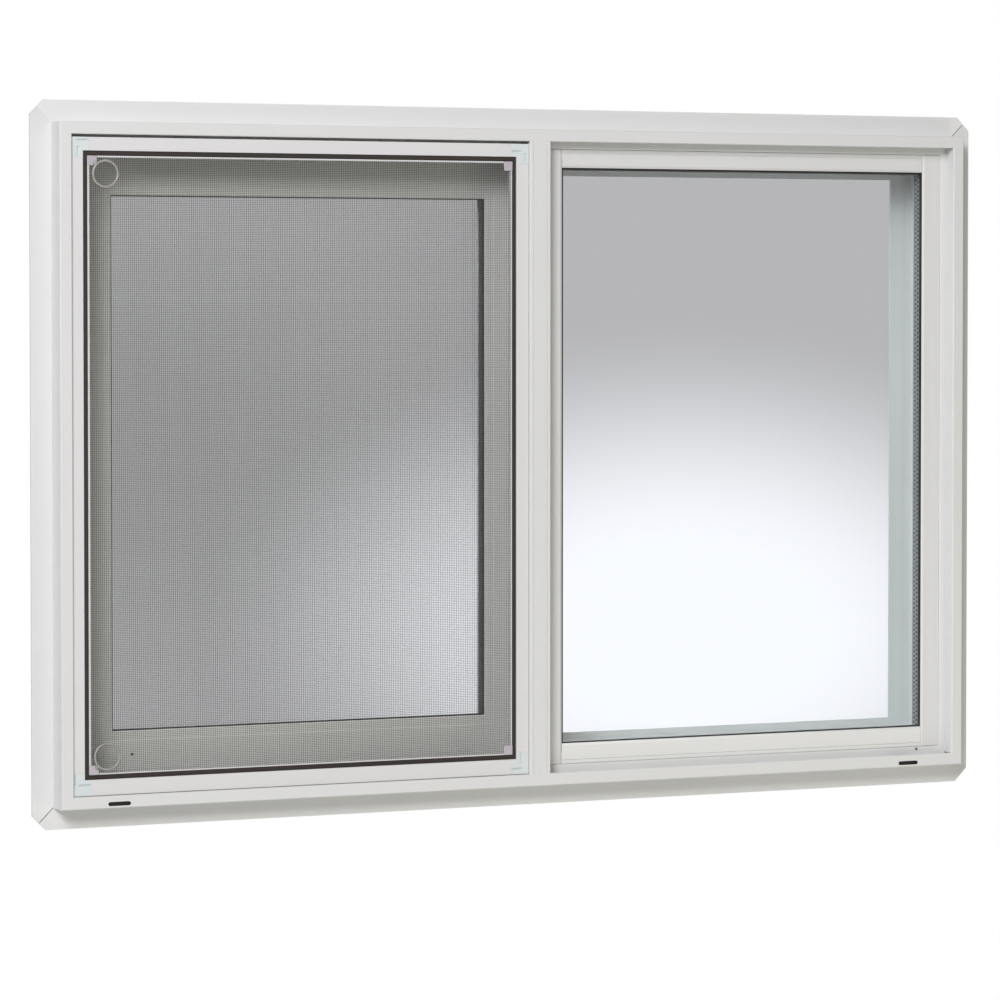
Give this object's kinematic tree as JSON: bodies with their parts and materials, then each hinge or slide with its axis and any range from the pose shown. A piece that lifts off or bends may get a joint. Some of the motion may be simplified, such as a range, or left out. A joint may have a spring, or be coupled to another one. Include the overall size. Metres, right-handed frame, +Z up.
{
  "type": "horizontal sliding window",
  "caption": "White vinyl sliding window with a nailing fin, a fixed lite, an insect screen in the outer track and a sash that slides behind the fixed lite",
  "frame": {"origin": "on the back face of the bottom nailing fin, at mid width", "axes": "+X to the right seen from outside, +Y from outside into the room, +Z up"},
  "size_m": [0.9404, 0.078, 0.6354],
  "materials": {
    "vinyl": "satin white extruded vinyl",
    "glass": "clear float glass",
    "gasket": "black glazing tape",
    "spacer": "perforated mill aluminium",
    "screw": "plated screw head",
    "screen_bar": "white painted roll-formed aluminium",
    "corner": "moulded bluish white plastic",
    "key": "moulded pale grey plastic",
    "spline": "dark brown vinyl cord",
    "mesh": "woven grey glass-fibre mesh",
    "tab": "translucent moulded plastic",
    "latch": "white moulded plastic",
    "glide": "grey nylon"
  },
  "bodies": {
    "frame": {"head": "vinyl", "sill": "vinyl", "left_jamb": "vinyl", "right_jamb": "vinyl", "mullion": "vinyl", "bead_left": "vinyl", "bead_right": "vinyl", "bead_top": "vinyl", "bead_bottom": "vinyl", "fixed_gasket": "gasket", "fixed_outer_pane": "glass", "fixed_spacer": "spacer", "fixed_inner_pane": "glass", "bead_screw": "screw", "screen_bar_top": "screen_bar", "screen_bar_bottom": "screen_bar", "screen_bar_left": "screen_bar", "screen_bar_right": "screen_bar", "screen_corners": "corner", "screen_corner_keys": "key", "screen_spline": "spline", "screen_mesh": "mesh", "screen_pull_tabs": "tab", "latch_keeper": "latch"},
    "sash": {"sash_top_rail": "vinyl", "sash_bottom_rail": "vinyl", "sash_left_stile": "vinyl", "sash_right_stile": "vinyl", "sash_gasket": "gasket", "sash_outer_pane": "glass", "sash_spacer": "spacer", "sash_inner_pane": "glass", "sash_inner_beads": "vinyl", "sash_glides": "glide", "sash_guides": "glide", "sash_rail_screw": "screw", "sash_latch": "latch", "sash_latch_lever": "latch"}
  },
  "joints": [
    {"name": "sash_slide", "type": "slide", "parent": "frame", "child": "sash", "axis": [1, 0, 0], "range_m": [0, 0.385]}
  ]
}
